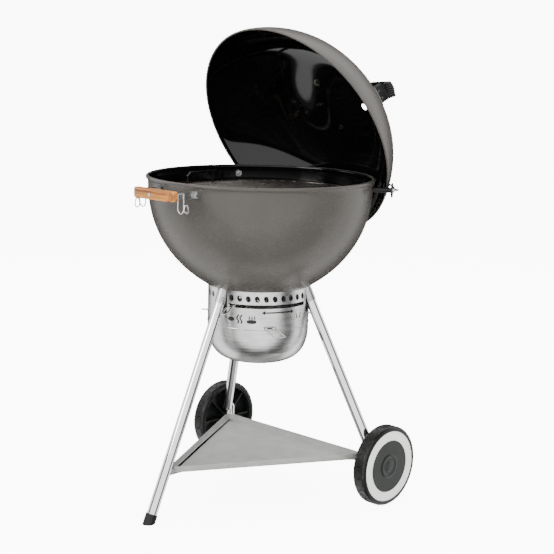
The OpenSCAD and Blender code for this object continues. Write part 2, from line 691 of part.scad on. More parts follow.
module plate_bolts() color("Silver") at_lid() for (p = bolt_spots) {
  r = norm(p);
  translate([p[0], p[1], lid_top_at(r) - 10]) cylinder(d = 6, h = 14, $fn = 24);
  difference() {
    translate([p[0], p[1], lid_top_at(r) - 3]) cylinder(d = 12, h = 8, $fn = 32);
    lid_space(-plate);
    translate([p[0], p[1], 100]) cylinder(d = 6, h = 100, $fn = 24);
  }
  intersection() {
    translate([p[0], p[1], lid_top_at(r) - 9]) difference() {
      union() {
        cylinder(d = 11, h = 12, $fn = 6);
        translate([0, 0, 5]) cylinder(d = 18, h = 10, $fn = 32);
      }
      translate([0, 0, -1]) cylinder(d = 6, h = 30, $fn = 24);
    }
    lid_space(sheet);
  }
}

handle_half = 61;
head_lean = 18;
head_half = handle_half - 0.5;

module at_lid_handle() {
  at_lid() rotate([0, 0, handle_turn]) translate([153.5, 0, 141.3]) rotate([0, 17.8, 0]) children();
}

module lid_handle() color([0.12, 0.14, 0.12]) difference() {
  at_lid_handle() difference() {
    union() {
      both_sides() translate([handle_half - 20.6, -22, -16]) cube([20.6, 44, 40]);
      translate([0, 0, 21]) rotate([-head_lean, 0, 0]) translate([0, 20, 0]) rotate([90, 0, 0]) linear_extrude(40)
        polygon([[-head_half, -1], [-head_half, 4], [-48, 39], [48, 39], [head_half, 4],
          [head_half, -1], [40, -1], [40, 11], [34, 18], [-34, 18], [-40, 11], [-40, -1]]);
    }
    for (s = [-1, 1]) translate([51, s*9.6, 7]) rotate([0, 90, 0]) cylinder(d = 3, h = 20, $fn = 24);
  }
  at_lid() lid_space(-plate);
}

module handle_screws() color("Silver") at_lid_handle() for (s = [-1, 1]) translate([0, s*9.6, 7]) rotate([0, 90, 0]) {
  translate([0, 0, handle_half - 10]) cylinder(d = 3, h = 10, $fn = 24);
  translate([0, 0, handle_half]) cylinder(d = 5.5, h = 1.4, $fn = 24);
}

module damper() color("Silver") at_lid() at_damper() difference() {
  union() {
    translate([0, 0, 0.8]) cylinder(r = damper_disc, h = 1.2, $fn = 64);
    translate([damper_disc - 3, -6, 0.8]) cube([3, 12, 10]);
  }
  translate([0, 0, -5]) cylinder(r = 3 + pin_gap, h = 20, $fn = 32);
  for (a = [60, 180, 300]) rotate([0, 0, a]) translate([23, 0, -5]) cylinder(d = 22, h = 20, $fn = 32);
}

module damper_rivet() color("Silver") at_lid() {
  at_damper() {
    translate([0, 0, -7]) cylinder(d = 6, h = 10, $fn = 32);
    translate([0, 0, 2.3]) cylinder(d = 13, h = 2, $fn = 32);
    translate([0, 0, -7]) cylinder(d = 10, h = 1.5, $fn = 32);
  }
  intersection() {
    at_damper() difference() {
      translate([0, 0, -6]) cylinder(d = 16, h = 8, $fn = 32);
      translate([0, 0, -8]) cylinder(d = 6, h = 20, $fn = 32);
    }
    lid_space(sheet);
  }
}

bowl();
cooking_grate_tabs();
charcoal_grate_tabs();
leg_sockets();
post_bolts();
lid_posts();
post_caps();
lid_bail();
front_leg();
foot_cap();
rear_leg_right();
rear_leg_left();
button_front();
button_right();
button_left();
axle();
axle_collars();
wheel_nuts();
tyre_right();
tyre_left();
wheel_core_right();
wheel_core_left();
wheel_ring_right();
wheel_ring_left();
wheel_cap_right();
wheel_cap_left();
shelf();
shelf_tabs();
shelf_rivets();
ash_ring();
ring_pins();
ash_pot();
pot_handle();
sweeper();
sweeper_hub();
sweeper_lever();
charcoal_grate();
cooking_grate();
grate_flap_front();
grate_flap_back();
handle_bracket();
bracket_screws();
handle_grip();
grip_screw();
tool_hooks();
lid();
lid_handle_plate();
lid_handle();
handle_screws();
plate_bolts();
damper();
damper_rivet();
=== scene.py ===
import math

import bmesh
import bpy
from mathutils import Matrix, Vector


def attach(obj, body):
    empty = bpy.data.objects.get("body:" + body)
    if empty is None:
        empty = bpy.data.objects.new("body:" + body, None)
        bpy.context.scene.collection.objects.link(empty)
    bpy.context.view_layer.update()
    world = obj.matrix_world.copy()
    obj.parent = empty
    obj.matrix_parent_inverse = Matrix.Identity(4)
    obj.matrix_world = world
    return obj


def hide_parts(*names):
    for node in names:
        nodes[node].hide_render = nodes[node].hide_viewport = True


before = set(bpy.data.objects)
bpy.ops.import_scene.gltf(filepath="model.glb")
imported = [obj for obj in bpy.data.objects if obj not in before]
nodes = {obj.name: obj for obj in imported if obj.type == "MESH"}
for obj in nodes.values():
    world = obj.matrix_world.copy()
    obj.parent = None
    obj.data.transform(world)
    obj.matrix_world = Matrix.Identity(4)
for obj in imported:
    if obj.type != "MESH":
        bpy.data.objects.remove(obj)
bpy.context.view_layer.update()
print("frame loaded:", len(nodes), "nodes")

# where the main things are, in metres, as on the drawing of the grill
plan = {"bowlY": 0.020, "rimZ": 0.8193, "bowlTop": 0.8073, "bowlR": 0.2808, "bowlDepth": 0.2976, "sheet": 0.0016,
        "lidY": 0.1154, "lidZ": 0.9211, "lidLean": 27.97, "axleY": 0.1678, "axleZ": 0.1018, "wheelOut": 0.3122}


def linearColor(code, alpha=1.0):  # sRGB hex to the linear values Blender wants
    parts = [int(code[i:i + 2], 16) / 255 for i in (0, 2, 4)]
    return [c / 12.92 if c <= 0.04045 else ((c + 0.055) / 1.055) ** 2.4 for c in parts] + [alpha]


def addNode(tree, kind, values=None, links=None, **settings):  # one node with its settings, values and links
    node = tree.nodes.new(kind)
    for key, value in settings.items():
        setattr(node, key, value)
    for key, value in (values or {}).items():
        node.inputs[key].default_value = value
    for key, socket in (links or {}).items():
        tree.links.new(socket, node.inputs[key])
    return node


def newMaterial(name, values):  # an empty material with a Principled shader in it
    material = bpy.data.materials.new(name)
    material.use_nodes = True
    tree = material.node_tree
    tree.nodes.clear()
    shader = addNode(tree, "ShaderNodeBsdfPrincipled", values)
    addNode(tree, "ShaderNodeOutputMaterial", links={"Surface": shader.outputs[0]})
    return material, tree, shader


def colorSteps(tree, factor, steps):  # a colour ramp from (position, hex) pairs
    ramp = addNode(tree, "ShaderNodeValToRGB", links={"Fac": factor})
    while len(ramp.color_ramp.elements) < len(steps):
        ramp.color_ramp.elements.new(0.5)
    for element, (place, code) in zip(ramp.color_ramp.elements, steps):
        element.position = place
        element.color = linearColor(code)
    return ramp.outputs["Color"]


# finishes
def enamelMaterial(name, steps, roughness, waves, shine):
    # vitreous enamel fired on pressed steel: a glassy coat with a faint orange peel about 6 mm wide
    material, tree, shader = newMaterial(name, {"IOR": 1.52, "Specular IOR Level": shine})
    place = addNode(tree, "ShaderNodeTexCoord").outputs["Object"]
    cloud = addNode(tree, "ShaderNodeTexNoise", {"Scale": 9.0, "Detail": 3.0}, {"Vector": place})
    tree.links.new(colorSteps(tree, cloud.outputs["Fac"], steps), shader.inputs["Base Color"])
    peel = addNode(tree, "ShaderNodeTexNoise", {"Scale": 160.0, "Detail": 2.0}, {"Vector": place})
    bump = addNode(tree, "ShaderNodeBump", {"Strength": waves, "Distance": 0.0004}, {"Height": peel.outputs["Fac"]})
    tree.links.new(bump.outputs["Normal"], shader.inputs["Normal"])
    gloss = addNode(tree, "ShaderNodeMapRange", {"To Min": roughness * 0.85, "To Max": roughness * 1.2},
                    {"Value": cloud.outputs["Fac"]})
    tree.links.new(gloss.outputs["Result"], shader.inputs["Roughness"])
    return material


def metalMaterial(name, steps, roughness, grain, spread, bumpHeight=0.0):
    # grain is how fast the brushing changes along X, Y and Z, in cycles a metre
    material, tree, shader = newMaterial(name, {"Metallic": 1.0})
    place = addNode(tree, "ShaderNodeTexCoord").outputs["Object"]
    turned = addNode(tree, "ShaderNodeMapping", {"Scale": grain}, {"Vector": place})
    brushing = addNode(tree, "ShaderNodeTexNoise", {"Scale": 1.0, "Detail": 4.0, "Roughness": 0.65},
                       {"Vector": turned.outputs["Vector"]})
    patches = addNode(tree, "ShaderNodeTexNoise", {"Scale": 22.0, "Detail": 2.0}, {"Vector": place})
    both = addNode(tree, "ShaderNodeMath", {0: 0.0, 1: 0.5}, operation="MULTIPLY_ADD",
                   links={0: brushing.outputs["Fac"], 2: addNode(tree, "ShaderNodeMath", {1: 0.5},
                          {0: patches.outputs["Fac"]}, operation="MULTIPLY").outputs[0]})
    tree.links.new(colorSteps(tree, both.outputs[0], steps), shader.inputs["Base Color"])
    gloss = addNode(tree, "ShaderNodeMapRange", {"From Min": 0.3, "From Max": 0.7, "To Min": roughness - spread,
                    "To Max": roughness + spread}, {"Value": both.outputs[0]})
    tree.links.new(gloss.outputs["Result"], shader.inputs["Roughness"])
    if bumpHeight:
        bump = addNode(tree, "ShaderNodeBump", {"Strength": 0.5, "Distance": bumpHeight},
                       {"Height": brushing.outputs["Fac"]})
        tree.links.new(bump.outputs["Normal"], shader.inputs["Normal"])
    return material


def mouldedMaterial(name, steps, roughness, grit, depth, sheen=0.0):
    # moulded plastic or rubber with the fine grit of its mould; grit is the grain size in millimetres
    material, tree, shader = newMaterial(name, {"IOR": 1.5, "Specular IOR Level": 0.3, "Sheen Weight": sheen})
    place = addNode(tree, "ShaderNodeTexCoord").outputs["Object"]
    fine = addNode(tree, "ShaderNodeTexNoise", {"Scale": 1000.0 / grit, "Detail": 3.0}, {"Vector": place})
    broad = addNode(tree, "ShaderNodeTexNoise", {"Scale": 25.0, "Detail": 2.0}, {"Vector": place})
    tree.links.new(colorSteps(tree, broad.outputs["Fac"], steps), shader.inputs["Base Color"])
    gloss = addNode(tree, "ShaderNodeMapRange", {"To Min": roughness - 0.06, "To Max": roughness + 0.06},
                    {"Value": fine.outputs["Fac"]})
    tree.links.new(gloss.outputs["Result"], shader.inputs["Roughness"])
    bump = addNode(tree, "ShaderNodeBump", {"Strength": 0.6, "Distance": depth}, {"Height": fine.outputs["Fac"]})
    tree.links.new(bump.outputs["Normal"], shader.inputs["Normal"])
    return material


# vitreous enamel outside: warm grey, mirrors the studio softly
greyEnamel = enamelMaterial("greyVitreousEnamel", [(0.3, "45423f"), (0.7, "4b4845")], 0.26, 0.02, 0.2)
# vitreous enamel inside bowl and lid: nearly black and glassier, so the lamps show as sharp shapes
blackEnamel = enamelMaterial("blackVitreousEnamel", [(0.3, "050505"), (0.7, "080808")], 0.05, 0.01, 0.3)
# chromium plated steel tube: mirror bright, the faint polish runs along the tube
chromeTube = metalMaterial("chromePlatedTube", [(0.3, "dcdcdc"), (0.7, "f2f2f2")], 0.07, (300, 300, 12), 0.02)
# nickel plated wire and rod: bright but softer than chrome
platedWire = metalMaterial("nickelPlatedWire", [(0.3, "c2c2bf"), (0.7, "e2e2df")], 0.2, (60, 60, 60), 0.05)
# plated grate rod and some small nuts: the same nickel given a dark base colour as painted shade that dims their
# reflections, varying in patches at random
shadeDimmedRod = metalMaterial("shadeDimmedNickel", [(0.3, "3a3835"), (0.7, "5e5b56")], 0.24, (60, 60, 60), 0.06)
# galvanised zinc on the sockets and brackets: dull grey with broad cloudy spangle
zincPlate = metalMaterial("galvanisedSteel", [(0.3, "9c9e9d"), (0.7, "c6c8c6")], 0.36, (120, 120, 120), 0.08)
# aluminised sheet, rolled and spun: the brushing runs round the pot
brushedSheet = metalMaterial("spunAluminisedSheet", [(0.3, "a6a6a5"), (0.7, "efefee")], 0.3, (14, 14, 700), 0.08,
                             0.00008)
# the underside of the lid damper: a nearly black sheet with a dull sheen
nearBlackSheet = metalMaterial("nearBlackDamperSteel", [(0.3, "15120f"), (0.7, "26211d")], 0.5, (90, 90, 90), 0.1)
# glass-filled nylon, moulded with a 0.6 mm grit: near black with a broken sheen
blackNylon = mouldedMaterial("glassFilledNylon", [(0.3, "070908"), (0.7, "0c0f0d")], 0.4, 0.6, 0.00008)
# polypropylene wheel cores, moulded: dark green-grey and a little smoother
corePlastic = mouldedMaterial("mouldedPolypropylene", [(0.3, "141815"), (0.7, "1a1f1b")], 0.36, 0.8, 0.00006)
# ABS rings, moulded and polished: bright white with a soft gloss
whiteTrim = mouldedMaterial("whiteAbsTrim", [(0.3, "ececea"), (0.7, "f4f4f2")], 0.28, 1.0, 0.00003)
# solid rubber, moulded: black with a dull sheen on the tread
tyreRubber = mouldedMaterial("mouldedTyreRubber", [(0.3, "090b09"), (0.7, "0e100d")], 0.34, 0.9, 0.00006, 0.02)
# silver lacquer baked on folded steel: an even pale grey with a satin sheen
trayPaint = mouldedMaterial("silverPaintedSteel", [(0.3, "939391"), (0.7, "a0a09e")], 0.42, 0.8, 0.00003)
# painted shade for the icons and the slot cut through the ash ring: flat dark grey
cutoutShadePaint = mouldedMaterial("paintedCutoutShade", [(0.3, "1b1a18"), (0.7, "23211e")], 0.5, 0.5, 0.00001)


def woodMaterial():
    # oiled bamboo strips glued up: pale tan with fine reddish fibres about 1.5 mm apart along the grip
    material, tree, shader = newMaterial("oiledBamboo", {"IOR": 1.5, "Coat Weight": 0.12, "Coat Roughness": 0.3})
    place = addNode(tree, "ShaderNodeTexCoord").outputs["Object"]
    stretched = addNode(tree, "ShaderNodeMapping", {"Scale": (9, 260, 260)}, {"Vector": place})
    fibre = addNode(tree, "ShaderNodeTexNoise", {"Scale": 1.0, "Detail": 6.0, "Roughness": 0.7, "Distortion": 0.6},
                    {"Vector": stretched.outputs["Vector"]})
    strips = addNode(tree, "ShaderNodeMapping", {"Scale": (3, 120, 120)}, {"Vector": place})
    tone = addNode(tree, "ShaderNodeTexNoise", {"Scale": 1.0, "Detail": 1.0}, {"Vector": strips.outputs["Vector"]})
    fibreColor = colorSteps(tree, fibre.outputs["Fac"], [(0.36, "2e1002"), (0.45, "84420a"), (0.54, "b87318"),
                                                         (0.68, "c98a34")])
    toneColor = colorSteps(tree, tone.outputs["Fac"], [(0.35, "6e330a"), (0.65, "cc9038")])
    mixed = addNode(tree, "ShaderNodeMix", {"Factor": 0.35}, data_type="RGBA")
    tree.links.new(fibreColor, mixed.inputs[6])
    tree.links.new(toneColor, mixed.inputs[7])
    tree.links.new(mixed.outputs[2], shader.inputs["Base Color"])
    gloss = addNode(tree, "ShaderNodeMapRange", {"To Min": 0.36, "To Max": 0.55}, {"Value": fibre.outputs["Fac"]})
    tree.links.new(gloss.outputs["Result"], shader.inputs["Roughness"])
    bump = addNode(tree, "ShaderNodeBump", {"Strength": 0.5, "Distance": 0.00025}, {"Height": fibre.outputs["Fac"]})
    tree.links.new(bump.outputs["Normal"], shader.inputs["Normal"])
    return material


bambooGrip = woodMaterial()
print("finishes made:", len(bpy.data.materials))


# helpers for pieces
def finishPiece(name, bm, materials, body, replaced, smooth=35.0):  # bmesh to a riding object
    bmesh.ops.remove_doubles(bm, verts=bm.verts, dist=1e-6)
    bmesh.ops.recalc_face_normals(bm, faces=bm.faces)
    mesh = bpy.data.meshes.new(name)
    bm.to_mesh(mesh)
    bm.free()
    for material in materials:
        mesh.materials.append(material)
    piece = bpy.data.objects.new(name, mesh)
    bpy.context.scene.collection.objects.link(piece)
    mesh.polygons.foreach_set("use_smooth", [True] * len(mesh.polygons))
    mesh.set_sharp_from_angle(angle=math.radians(smooth))
    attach(piece, body)
    if replaced:
        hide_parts(*replaced)
    return piece


def spinProfile(points, steps, closed=True):  # a lathe-turned piece about Z from (radius, height) points
    bm = bmesh.new()
    verts = [bm.verts.new((r, 0, z)) for r, z in points]
    edges = [bm.edges.new((a, b)) for a, b in zip(verts, verts[1:])]
    if closed:
        edges.append(bm.edges.new((verts[-1], verts[0])))
    bmesh.ops.spin(bm, geom=verts + edges, cent=(0, 0, 0), axis=(0, 0, 1), angle=math.tau, steps=steps,
                   use_merge=True)
    bmesh.ops.recalc_face_normals(bm, faces=bm.faces)
    return bm


def cutThrough(bm, cutters):  # cuts each cutter bmesh out of bm with an exact boolean
    base = bpy.data.meshes.new("cutBase")
    bm.to_mesh(base)
    bm.free()
    work = bpy.data.objects.new("cutBase", base)
    bpy.context.scene.collection.objects.link(work)
    tools = []
    for cutter in cutters:
        mesh = bpy.data.meshes.new("cutTool")
        cutter.to_mesh(mesh)
        cutter.free()
        tool = bpy.data.objects.new("cutTool", mesh)
        bpy.context.scene.collection.objects.link(tool)
        tools.append(tool)
        modifier = work.modifiers.new("cut", "BOOLEAN")
        modifier.operation, modifier.solver, modifier.object = "DIFFERENCE", "EXACT", tool
    graph = bpy.context.evaluated_depsgraph_get()
    result = bmesh.new()
    result.from_mesh(work.evaluated_get(graph).to_mesh())
    for thing in [work] + tools:
        bpy.data.objects.remove(thing)
    return result


def barBetween(a, b, radius, segments=20):  # a round bar as a cutter
    bm = bmesh.new()
    a, b = Vector(a), Vector(b)
    turn = (b - a).to_track_quat("Z", "Y").to_matrix().to_4x4()
    bmesh.ops.create_cone(bm, cap_ends=True, segments=segments, radius1=radius, radius2=radius,
                          depth=(b - a).length, matrix=Matrix.Translation((a + b) / 2) @ turn)
    return bm


def bevelEdges(bm, edges, width, segments):
    bmesh.ops.bevel(bm, geom=edges, offset=width, offset_type="OFFSET", affect="EDGES", segments=segments,
                    profile=0.5, material=-1)


def roundedOutline(corners, rounds, inset):  # a closed outline with rounded corners, pulled in by inset
    corners = [Vector(p) for p in corners]
    points = []
    arcSteps = 5
    for i, corner in enumerate(corners):
        before, after = corners[i - 1], corners[(i + 1) % len(corners)]
        start = corner + (before - corner).normalized() * rounds[i]
        end = corner + (after - corner).normalized() * rounds[i]
        for k in range(arcSteps + 1):
            t = k / arcSteps
            points.append(start * (1 - t) ** 2 + corner * 2 * t * (1 - t) + end * t ** 2)
    pulled = []
    for i, p in enumerate(points):
        way = (points[(i + 1) % len(points)] - points[i - 1]).normalized()
        pulled.append(p + Vector((way.y, -way.x)) * inset)
    return pulled


def loftRings(bm, rings):  # closed loops of points bridged one to the next and capped at both ends
    last = None
    for ring in rings:
        verts = [bm.verts.new(p) for p in ring]
        edges = [bm.edges.new((a, b)) for a, b in zip(verts, verts[1:] + verts[:1])]
        if last:
            bmesh.ops.bridge_loops(bm, edges=last + edges)
        else:
            bm.faces.new(verts)
        last = edges
    bm.faces.new(verts)
    bmesh.ops.recalc_face_normals(bm, faces=bm.faces)


def rimArc(centre, bead, first, last, step):  # the rolled edge of a shell, from and to angles in degrees
    turns = [math.radians(a) for a in range(first, last, step)]
    return [(centre[0] + bead * math.cos(a), centre[1] + bead * math.sin(a)) for a in turns]


def moveAll(bm, matrix):
    bmesh.ops.transform(bm, matrix=matrix, verts=bm.verts)


# bowl
bowlShape = {"curveUp": 2.22, "curveOut": 1.72, "bead": 0.0048, "beadOut": 0.0007, "beadDown": 0.003, "hub": 0.008,
             "rings": 90, "turnSteps": 240, "ventTurns": (12, 132, 252), "ventEnds": (0.038, 0.108),
             "ventMiddle": 0.073, "ventWide": 0.022, "ventRound": 0.0108, "ventLow": 0.49, "ventHigh": 0.57}


def bowlRadius(t, inset):  # the wall's radius at a share t of the depth
    return (plan["bowlR"] - inset) * (1 - t ** bowlShape["curveUp"]) ** (1 / bowlShape["curveOut"])


def bowlSide(inset):  # the wall from the top down, with its points closer together near the top
    count = bowlShape["rings"]
    points = []
    for i in range(count + 1):
        t = 1 - (1 - i / count) ** 1.8
        r = bowlRadius(t, inset)
        if r < bowlShape["hub"]:
            break
        points.append((r, plan["bowlTop"] - (plan["bowlDepth"] - inset) * t))
    return points + [(bowlShape["hub"], plan["bowlTop"] - (plan["bowlDepth"] - inset) * 0.9985)]


def buildBowl():
    outer, inner = bowlSide(0.0), bowlSide(plan["sheet"])
    centre = (plan["bowlR"] + bowlShape["beadOut"], plan["rimZ"] - bowlShape["beadDown"])
    arc = rimArc(centre, bowlShape["bead"], -75, 236, 12)  # open where it joins the wall
    bm = spinProfile(list(reversed(outer)) + arc + inner, bowlShape["turnSteps"])
    tools = []
    low, high = Vector((0, 0, bowlShape["ventLow"])), Vector((0, 0, bowlShape["ventHigh"]))
    inEnd, outEnd = bowlShape["ventEnds"]
    for turn in bowlShape["ventTurns"]:
        a = math.radians(turn)
        way = Vector((math.cos(a), math.sin(a), 0))
        slot = bmesh.new()
        middle = Matrix.Translation((bowlShape["ventMiddle"], 0, (low.z + high.z) / 2))
        size = Matrix.Diagonal((outEnd - inEnd, bowlShape["ventWide"], high.z - low.z, 1))
        bmesh.ops.create_cube(slot, size=1.0, matrix=Matrix.Rotation(a, 4, "Z") @ middle @ size)
        tools.append(slot)
        for r in (inEnd, outEnd):
            tools.append(barBetween(way * r + low, way * r + high, bowlShape["ventRound"], 32))
    bm = cutThrough(bm, tools)
    for face in bm.faces:  # black inside the middle of the wall, grey outside it and on the rolled rim
        middle = face.calc_center_median()
        flat = Vector((middle.x, middle.y, 0))
        t = (plan["bowlTop"] - middle.z) / plan["bowlDepth"]
        wall = bowlRadius(min(max(t, 0), 0.9999), plan["sheet"] * 0.5)
        looksIn = face.normal.dot(flat + Vector((0, 0, -0.15))) < 0
        onRim = middle.z > plan["rimZ"] - 0.006 and flat.length > centre[0] - 0.003
        face.material_index = 1 if flat.length < wall and looksIn and not onRim else 0
    moveAll(bm, Matrix.Translation((0, plan["bowlY"], 0)))
    return finishPiece("bowlShell", bm, [greyEnamel, blackEnamel], "stand", ["bowl"])


bowlShell = buildBowl()
print("bowl built")

# lid
lidShape = {"radius": 0.293, "depth": 0.1569, "skirt": 0.0048, "curveUp": 1.15, "curveOut": 3.92, "bead": 0.0022,
            "beadIn": 0.0012, "rings": 90, "turnSteps": 240, "probe": (0.1129, 0.0051, 0.009),
            "damperRadius": 0.136, "damperTurn": 163.6, "damperSlope": 11.06, "holeOut": 0.023, "holeRadius": 0.011}
lidPlace = Matrix.Translation((0, plan["bowlY"] + plan["lidY"], plan["lidZ"])) @ Matrix.Rotation(
    math.radians(plan["lidLean"] - 90), 4, "X")


def lidHeight(r):  # the outside of the lid above its own rim, at a radius r
    share = (1 - (r / lidShape["radius"]) ** lidShape["curveOut"]) ** (1 / lidShape["curveUp"])
    return lidShape["skirt"] + lidShape["depth"] * share


def lidSide(inset):  # the wall from the rim to the crown
    count = lidShape["rings"]
    points = []
    for i in range(count + 1):
        t = 1 - (1 - i / count) ** 1.8
        r = (lidShape["radius"] - inset) * max(1 - t ** lidShape["curveUp"], 0) ** (1 / lidShape["curveOut"])
        points.append((r, lidShape["skirt"] + (lidShape["depth"] - inset) * t))
    return points


damperPlace = (Matrix.Rotation(math.radians(lidShape["damperTurn"]), 4, "Z")
               @ Matrix.Translation((lidShape["damperRadius"], 0, lidHeight(lidShape["damperRadius"])))
               @ Matrix.Rotation(math.radians(lidShape["damperSlope"]), 4, "Y"))


def buildLid():
    outer, inner = lidSide(0.0), lidSide(plan["sheet"])
    arc = rimArc((lidShape["radius"] - lidShape["beadIn"], lidShape["beadIn"]), lidShape["bead"], 140, 406, 14)
    bm = spinProfile(list(reversed(inner)) + arc + outer, lidShape["turnSteps"], closed=False)
    x, y, r = lidShape["probe"]
    tools = [barBetween((x, y, 0.12), (x, y, 0.18), r, 40)]
    out = lidShape["holeOut"]
    for turn in (0, 120, 240):  # the damper's three holes
        hole = barBetween((out, 0, -0.02), (out, 0, 0.01), lidShape["holeRadius"], 40)
        moveAll(hole, damperPlace @ Matrix.Rotation(math.radians(turn), 4, "Z"))
        tools.append(hole)
    bm = cutThrough(bm, tools)
    for face in bm.faces:
        middle = face.calc_center_median()
        flat = Vector((middle.x, middle.y, 0))
        looksIn = face.normal.dot(flat + Vector((0, 0, 0.15))) < 0
        face.material_index = 1 if looksIn and middle.z > lidShape["beadIn"] else 0
    moveAll(bm, lidPlace)
    return finishPiece("lidShell", bm, [greyEnamel, blackEnamel], "lid", ["lid"])


lidShell = buildLid()
print("lid built")

# tyres
tyreShape = {"inner": 0.09, "outer": 0.1018, "width": 0.036, "shoulder": 0.006, "hubFace": 0.038, "treadRows": 44,
             "turnSteps": 480, "groove": 0.0014, "depth": 0.0017, "edge": 0.0005, "waves": 20, "swing": 0.0115}


def buildTyre(side):
    inner, outer, half = tyreShape["inner"], tyreShape["outer"], tyreShape["width"] / 2
    shoulder, rows = tyreShape["shoulder"], tyreShape["treadRows"]
    corner = [(outer - shoulder, half), (outer - 0.0025, half - 0.0012), (outer - 0.0008, half - 0.0035)]
    points = [(inner, -half)] + [(r, -z) for r, z in corner]
    points += [(outer, -half + shoulder + (2 * half - 2 * shoulder) * i / rows) for i in range(rows + 1)]
    points += corner[::-1] + [(inner, half)]
    bm = spinProfile(points, tyreShape["turnSteps"])
    for vert in bm.verts:  # one zigzag groove sunk in the tread
        r = math.hypot(vert.co.x, vert.co.y)
        if r > outer - 0.0004:
            angle = math.atan2(vert.co.y, vert.co.x)
            swing = tyreShape["swing"] * math.sin(tyreShape["waves"] * angle)
            near = 0.55 * abs(vert.co.z - swing)
            share = (tyreShape["groove"] - near) / tyreShape["edge"] + 1
            sink = tyreShape["depth"] * max(0.0, min(1.0, share))
            vert.co.x *= (r - sink) / r
            vert.co.y *= (r - sink) / r
    middle = side * (plan["wheelOut"] - tyreShape["hubFace"] + half)
    moveAll(bm, Matrix.Translation((middle, plan["bowlY"] + plan["axleY"], plan["axleZ"])) @ Matrix.Rotation(
        math.radians(90), 4, "Y"))
    name = "right" if side > 0 else "left"
    return finishPiece("tyreTread_" + name, bm, [tyreRubber], "wheel_" + name, ["tyre_" + name], 40)


tyres = [buildTyre(s) for s in (1, -1)]
print("tyres built")

# wooden grip
gripShape = {"outline": [(-0.071, 0), (-0.071, -0.010), (-0.055, -0.022),
                         (0.055, -0.022), (0.071, -0.010), (0.071, 0)],
             "tall": 0.024, "backY": -0.342, "middleZ": 0.798, "round": 0.0045}


def buildGrip():
    bm = bmesh.new()
    y0 = plan["bowlY"] + gripShape["backY"]
    z0 = gripShape["middleZ"] - gripShape["tall"] / 2
    face = bm.faces.new([bm.verts.new((x, y0 + y, z0)) for x, y in gripShape["outline"]])
    grown = bmesh.ops.extrude_face_region(bm, geom=[face], use_keep_orig=True)
    top = [g for g in grown["geom"] if isinstance(g, bmesh.types.BMVert)]
    bmesh.ops.translate(bm, vec=(0, 0, gripShape["tall"]), verts=top)
    bmesh.ops.recalc_face_normals(bm, faces=bm.faces)
    front = [e for e in bm.edges if min(v.co.y for v in e.verts) < y0 - 0.001]
    bevelEdges(bm, front, gripShape["round"], 5)
    return finishPiece("woodGrip", bm, [bambooGrip], "stand", ["handle_grip"], 50)


woodGrip = buildGrip()

# lid handle
handleShape = {"turn": -14, "middle": (0.1535, 0, 0.1413), "slope": 17.8, "half": 0.061, "foot": 0.0206,
               "wide": 0.022, "tall": 0.040, "footMiddle": 0.004, "footRound": 0.0025, "overLid": 0.0015,
               "headRise": 0.021, "headLean": -18, "headWide": 0.020, "ribs": 7, "ribSink": 0.0022, "crown": 0.010,
               "arch": [(-0.0605, -0.001), (-0.0605, 0.006), (-0.048, 0.039), (0.048, 0.039), (0.0605, 0.006),
                        (0.0605, -0.001), (0.040, -0.001), (0.040, 0.012), (0.032, 0.018), (-0.032, 0.018),
                        (-0.040, 0.012), (-0.040, -0.001)],
               "rounds": [0.0005, 0.008, 0.010, 0.010, 0.008, 0.0005, 0.0005, 0.004, 0.004, 0.004, 0.004, 0.0005]}
handlePlace = (lidPlace @ Matrix.Rotation(math.radians(handleShape["turn"]), 4, "Z")
               @ Matrix.Translation(handleShape["middle"])
               @ Matrix.Rotation(math.radians(handleShape["slope"]), 4, "Y"))


def archOutline(inset):  # the arch seen from the side
    return roundedOutline(handleShape["arch"], handleShape["rounds"], inset)


def buildLidHandle():
    feet = bmesh.new()
    size = Matrix.Diagonal((handleShape["foot"], 2 * handleShape["wide"], handleShape["tall"], 1))
    for s in (-1, 1):
        middle = Vector((s * (handleShape["half"] - handleShape["foot"] / 2), 0, handleShape["footMiddle"]))
        bmesh.ops.create_cube(feet, size=1.0, matrix=Matrix.Translation(middle) @ size)
    bevelEdges(feet, [e for e in feet.edges if max(v.co.z for v in e.verts) > 0], handleShape["footRound"], 4)
    over = handleShape["overLid"]  # the feet stand on a dome this far above the lid
    side = [(r, z) for r, z in lidSide(-over) if r > 1e-5]
    dome = spinProfile([(0, 0)] + side + [(0, lidShape["skirt"] + lidShape["depth"] + over)], 120, closed=False)
    moveAll(dome, handlePlace.inverted() @ lidPlace)
    feet = cutThrough(feet, [dome])
    head = bmesh.new()
    ribs, wide, sink = handleShape["ribs"], handleShape["headWide"], handleShape["ribSink"]
    pitch = 2 * wide / ribs
    ribProfile = [(0, sink), (0.14, sink * 0.25), (0.26, 0.0), (0.74, 0.0), (0.86, sink * 0.25)]
    steps = []
    for k in range(ribs):
        low = -wide + k * pitch
        steps += [(low + pitch * share, inset) for share, inset in ribProfile]
    steps.append((wide, sink))
    rings = []
    for y, inset in steps:
        drop = handleShape["crown"] * max(0.0, -(y + 0.002) / wide) ** 1.6  # the head is lower on its upper side
        rings.append([(p.x, y, p.y - drop * max(0.0, min(1.0, (p.y - 0.02) / 0.019))) for p in archOutline(inset)])
    loftRings(head, rings)
    moveAll(head, Matrix.Translation((0, 0, handleShape["headRise"])) @ Matrix.Rotation(
        math.radians(handleShape["headLean"]), 4, "X"))
    mesh = bpy.data.meshes.new("ribbedHead")
    head.to_mesh(mesh)
    head.free()
    feet.from_mesh(mesh)
    moveAll(feet, handlePlace)
    return finishPiece("ribbedLidHandle", feet, [blackNylon], "lid", ["lid_handle"], 32)


ribbedLidHandle = buildLidHandle()
print("grip and lid handle built")

# shelf tray
trayShape = {"sides": [(-90, 0.283), (-29.4, 0.1449), (30.3, 0.272), (90, 0.1449), (149.7, 0.272), (209.4, 0.1449)],
             "middleY": -0.0049, "floor": 0.112, "lip": 0.016, "wall": 0.001, "corner": 0.010, "foot": 0.003,
             "ring": 0.002}


